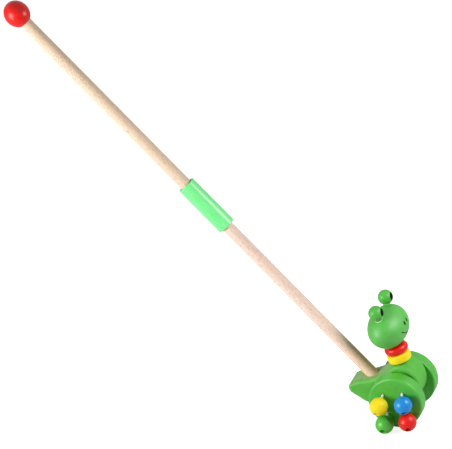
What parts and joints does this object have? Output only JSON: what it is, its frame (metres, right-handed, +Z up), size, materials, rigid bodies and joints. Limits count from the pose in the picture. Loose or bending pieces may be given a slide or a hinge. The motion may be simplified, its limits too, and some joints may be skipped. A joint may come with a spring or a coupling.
{
  "type": "toddler push toy",
  "caption": "Wooden frog push-along toy on wheels with loose clacking beads on its wheel faces, and a jointed dowel stick ending in a knob.",
  "frame": {"origin": "on the floor under the middle of the whole toy's bounding box, with the wheels standing on Z = 0", "axes": "+X the way the toy is pushed, +Y to the frog's left along the axle, +Z up"},
  "size_m": [0.433, 0.1004, 0.3939],
  "materials": {
    "green_paint": "satin green paint on wood",
    "red_paint": "gloss red paint on wood",
    "yellow_paint": "gloss yellow paint on wood",
    "blue_paint": "gloss blue paint on wood",
    "beech": "plain sanded beech",
    "sleeve_plastic": "slightly see-through green plastic",
    "white_cord": "braided white cord"
  },
  "bodies": {
    "frog": {"knob": "red_paint", "upper_stick": "beech", "stick_sleeve": "sleeve_plastic", "lower_stick": "beech", "body": "green_paint", "head": "green_paint", "right_eye": "green_paint", "left_eye": "green_paint", "right_eye_peg": "beech", "left_eye_peg": "beech", "neck_peg": "beech"},
    "wheelset": {"axle": "beech", "right_wheel": "green_paint", "left_wheel": "green_paint"},
    "red_ring": {"red_neck_ring": "red_paint"},
    "yellow_ring": {"yellow_neck_ring": "yellow_paint"},
    "right_blue_cord": {"right_blue_cord": "white_cord"},
    "right_blue_bead": {"right_blue_bead": "blue_paint"},
    "right_yellow_cord": {"right_yellow_cord": "white_cord"},
    "right_yellow_bead": {"right_yellow_bead": "yellow_paint"},
    "right_red_cord": {"right_red_cord": "white_cord"},
    "right_red_bead": {"right_red_bead": "red_paint"},
    "right_green_cord": {"right_green_cord": "white_cord"},
    "right_green_bead": {"right_green_bead": "green_paint"},
    "left_blue_cord": {"left_blue_cord": "white_cord"},
    "left_blue_bead": {"left_blue_bead": "blue_paint"},
    "left_yellow_cord": {"left_yellow_cord": "white_cord"},
    "left_yellow_bead": {"left_yellow_bead": "yellow_paint"},
    "left_red_cord": {"left_red_cord": "white_cord"},
    "left_red_bead": {"left_red_bead": "red_paint"},
    "left_green_cord": {"left_green_cord": "white_cord"},
    "left_green_bead": {"left_green_bead": "green_paint"}
  },
  "joints": [
    {"name": "wheelset_roll", "type": "hinge", "parent": "frog", "child": "wheelset", "pos_m": [0.18923, 0, 0.0273], "axis": [0, 1, 0], "continuous": true},
    {"name": "red_ring_turn", "type": "hinge", "parent": "frog", "child": "red_ring", "pos_m": [0.18158, 0, 0.07236], "axis": [-0.3338, 0, 0.9426], "continuous": true},
    {"name": "yellow_ring_turn", "type": "hinge", "parent": "frog", "child": "yellow_ring", "pos_m": [0.18458, 0, 0.06388], "axis": [-0.3338, 0, 0.9426], "continuous": true},
    {"name": "right_blue_swing", "type": "hinge", "parent": "wheelset", "child": "right_blue_cord", "pos_m": [0.19638, -0.02895, 0.03968], "axis": [0, -1, 0], "range_deg": [-50, 100]},
    {"name": "right_blue_lift", "type": "hinge", "parent": "right_blue_cord", "child": "right_blue_bead", "pos_m": [0.19638, -0.03015, 0.03968], "axis": [-0.8746, 0, -0.4848], "range_deg": [0, 45], "deforming": ["right_blue_cord"]},
    {"name": "right_yellow_swing", "type": "hinge", "parent": "wheelset", "child": "right_yellow_cord", "pos_m": [0.17685, -0.02895, 0.03445], "axis": [0, -1, 0], "range_deg": [-100, 6]},
    {"name": "right_yellow_lift", "type": "hinge", "parent": "right_yellow_cord", "child": "right_yellow_bead", "pos_m": [0.17685, -0.03015, 0.03445], "axis": [-0.9925, 0, 0.1219], "range_deg": [-4, 54], "deforming": ["right_yellow_cord"]},
    {"name": "right_red_swing", "type": "hinge", "parent": "wheelset", "child": "right_red_cord", "pos_m": [0.20162, -0.02895, 0.02015], "axis": [0, -1, 0], "range_deg": [-45, 11]},
    {"name": "right_red_lift", "type": "hinge", "parent": "right_red_cord", "child": "right_red_bead", "pos_m": [0.20162, -0.03015, 0.02015], "axis": [-0.8387, 0, -0.5446], "range_deg": [-7, 4], "deforming": ["right_red_cord"]},
    {"name": "right_green_swing", "type": "hinge", "parent": "wheelset", "child": "right_green_cord", "pos_m": [0.18208, -0.02895, 0.01492], "axis": [0, -1, 0], "range_deg": [-10, 45]},
    {"name": "right_green_lift", "type": "hinge", "parent": "right_green_cord", "child": "right_green_bead", "pos_m": [0.18208, -0.03015, 0.01492], "axis": [-0.9962, 0, -0.0872], "range_deg": [-22, 1.5], "deforming": ["right_green_cord"]},
    {"name": "left_blue_swing", "type": "hinge", "parent": "wheelset", "child": "left_blue_cord", "pos_m": [0.18083, 0.02895, 0.03887], "axis": [0, -1, 0], "range_deg": [-100, 20]},
    {"name": "left_blue_lift", "type": "hinge", "parent": "left_blue_cord", "child": "left_blue_bead", "pos_m": [0.18083, 0.03015, 0.03887], "axis": [0.9976, 0, -0.0698], "range_deg": [0, 60], "deforming": ["left_blue_cord"]},
    {"name": "left_yellow_swing", "type": "hinge", "parent": "wheelset", "child": "left_yellow_cord", "pos_m": [0.2008, 0.02895, 0.03571], "axis": [0, -1, 0], "range_deg": [-9, 100]},
    {"name": "left_yellow_lift", "type": "hinge", "parent": "left_yellow_cord", "child": "left_yellow_bead", "pos_m": [0.2008, 0.03015, 0.03571], "axis": [0.9945, 0, 0.1045], "range_deg": [0, 45], "deforming": ["left_yellow_cord"]},
    {"name": "left_red_swing", "type": "hinge", "parent": "wheelset", "child": "left_red_cord", "pos_m": [0.17766, 0.02895, 0.01889], "axis": [0, -1, 0], "range_deg": [-60, 10]},
    {"name": "left_red_lift", "type": "hinge", "parent": "left_red_cord", "child": "left_red_bead", "pos_m": [0.17766, 0.03015, 0.01889], "axis": [0.9994, 0, -0.0349], "range_deg": [0, 10], "deforming": ["left_red_cord"]},
    {"name": "left_green_swing", "type": "hinge", "parent": "wheelset", "child": "left_green_cord", "pos_m": [0.19764, 0.02895, 0.01573], "axis": [0, -1, 0], "range_deg": [-15, 12]},
    {"name": "left_green_lift", "type": "hinge", "parent": "left_green_cord", "child": "left_green_bead", "pos_m": [0.19764, 0.03015, 0.01573], "axis": [0.9962, 0, -0.0872], "range_deg": [-19, 2], "deforming": ["left_green_cord"]}
  ]
}
